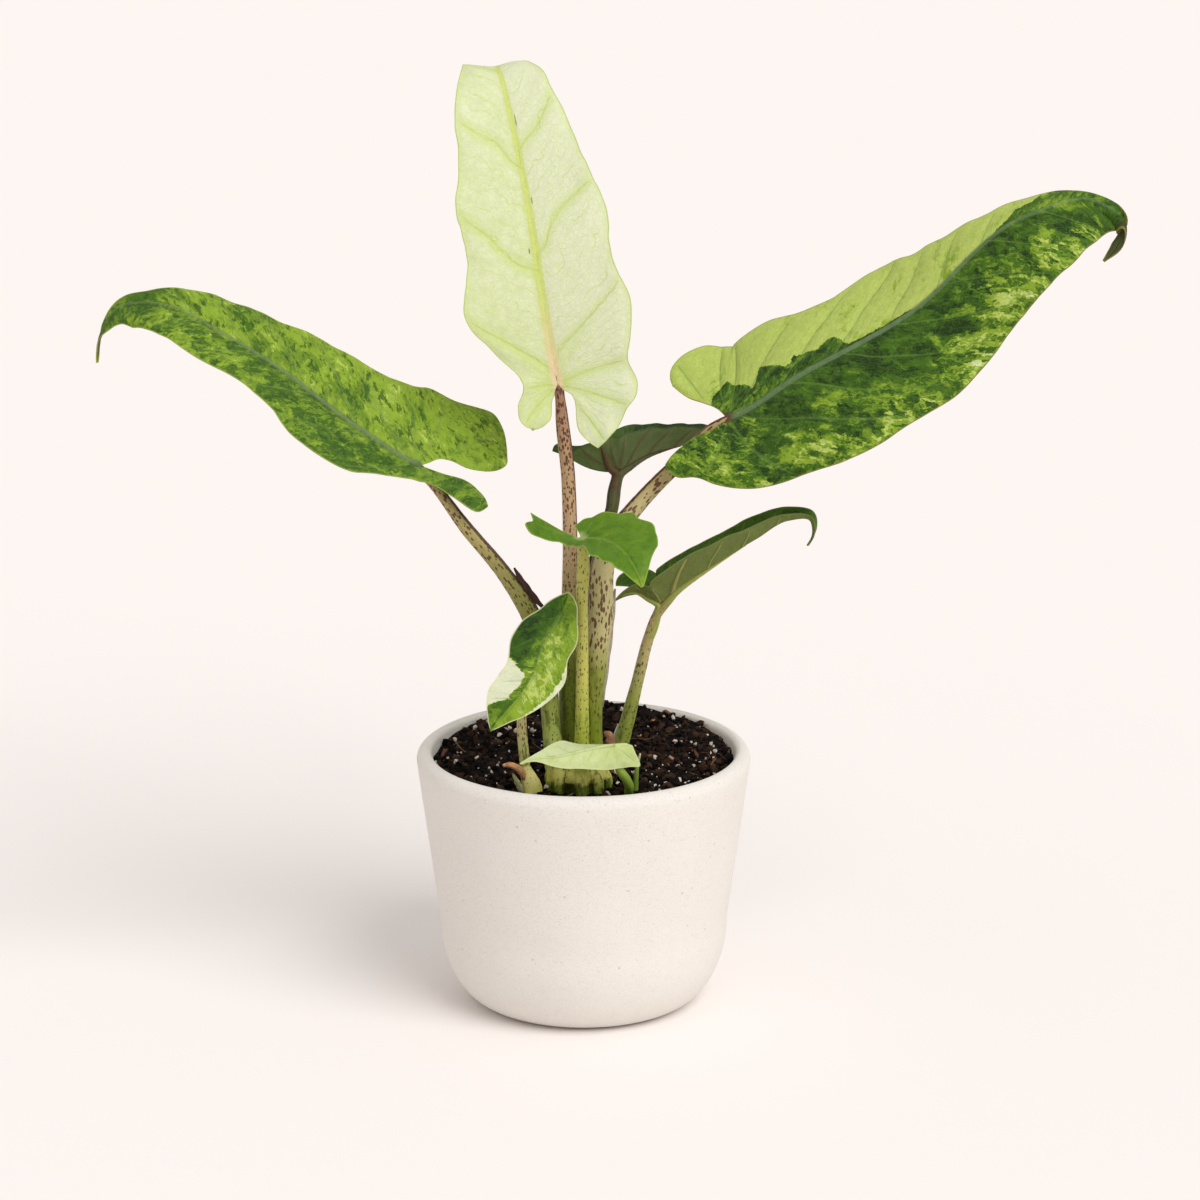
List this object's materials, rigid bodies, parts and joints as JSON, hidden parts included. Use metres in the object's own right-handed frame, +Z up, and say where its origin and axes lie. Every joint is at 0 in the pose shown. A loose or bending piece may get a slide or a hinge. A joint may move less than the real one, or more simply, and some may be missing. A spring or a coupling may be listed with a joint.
{
  "type": "potted alocasia",
  "caption": "Potted alocasia: long arrow-shaped variegated leaves on slender speckled stalks, growing from one clump of soil in a rounded off-white stoneware pot.",
  "frame": {"origin": "centre of the pot's flat underside", "axes": "+Z up along the pot's axis; -Y is the plant's front, the side the leaf clump leans to; +X is to the viewer's right"},
  "size_m": [0.4205, 0.1404, 0.395],
  "materials": {
    "stoneware": "matte, sandy, warm off-white",
    "soil": "matte moist crumbs with perlite and bark",
    "rootstock": "matte, fibrous",
    "pale_blade": "satin leaf, pale cream-green with a green midrib",
    "right_blade": "satin leaf, dark green marbled yellow-green",
    "left_blade": "satin leaf, mottled mid green",
    "rear_blade": "satin leaf, grey-green underside with brown veins",
    "marbled_blade": "satin leaf, green, yellow-green and white",
    "front_blade": "satin leaf, bright green",
    "low_blade": "satin leaf, grey-olive underside with a pale keel",
    "cream_blade": "satin leaf, pale cream-green",
    "pale_stalk": "satin stalk, pinkish cream with brown-red speckles",
    "right_stalk": "satin stalk, cream-olive with dark brown speckles",
    "left_stalk": "satin stalk, cream-olive with dark brown speckles",
    "rear_stalk": "satin stalk, dark olive",
    "marbled_stalk": "satin stalk, pinkish tan with fine speckles",
    "front_stalk": "satin stalk, cream-olive with fine brown speckles",
    "low_stalk": "satin stalk, yellow-green with a few dots",
    "cream_stalk": "satin stalk, light green",
    "bulb": "satin green with dark dots",
    "sprout": "satin green with a pale tip",
    "white_spear": "satin off-white",
    "dark_scale": "dry dark brown",
    "dry_sheath": "dry grey-brown",
    "orange_scale": "dry orange-brown",
    "brown_scale": "dry brown",
    "green_scale": "satin pale green"
  },
  "bodies": {
    "root": {"pot": "stoneware", "soil": "soil", "rootstock": "rootstock", "pale_leaf_blade": "pale_blade", "right_leaf_blade": "right_blade", "left_leaf_blade": "left_blade", "rear_leaf_blade": "rear_blade", "marbled_leaf_blade": "marbled_blade", "front_leaf_blade": "front_blade", "low_leaf_blade": "low_blade", "cream_leaf_blade": "cream_blade", "pale_leaf_stalk": "pale_stalk", "right_leaf_stalk": "right_stalk", "left_leaf_stalk": "left_stalk", "rear_leaf_stalk": "rear_stalk", "marbled_leaf_stalk": "marbled_stalk", "front_leaf_stalk": "front_stalk", "low_leaf_stalk": "low_stalk", "cream_leaf_stalk": "cream_stalk", "offset_bulb": "bulb", "right_sprout": "sprout", "white_spear": "white_spear", "left_stalk_scale": "dark_scale", "right_stalk_sheath": "dry_sheath", "brown_scale_left": "orange_scale", "brown_scale_right": "brown_scale", "green_scale": "green_scale"}
  },
  "joints": []
}
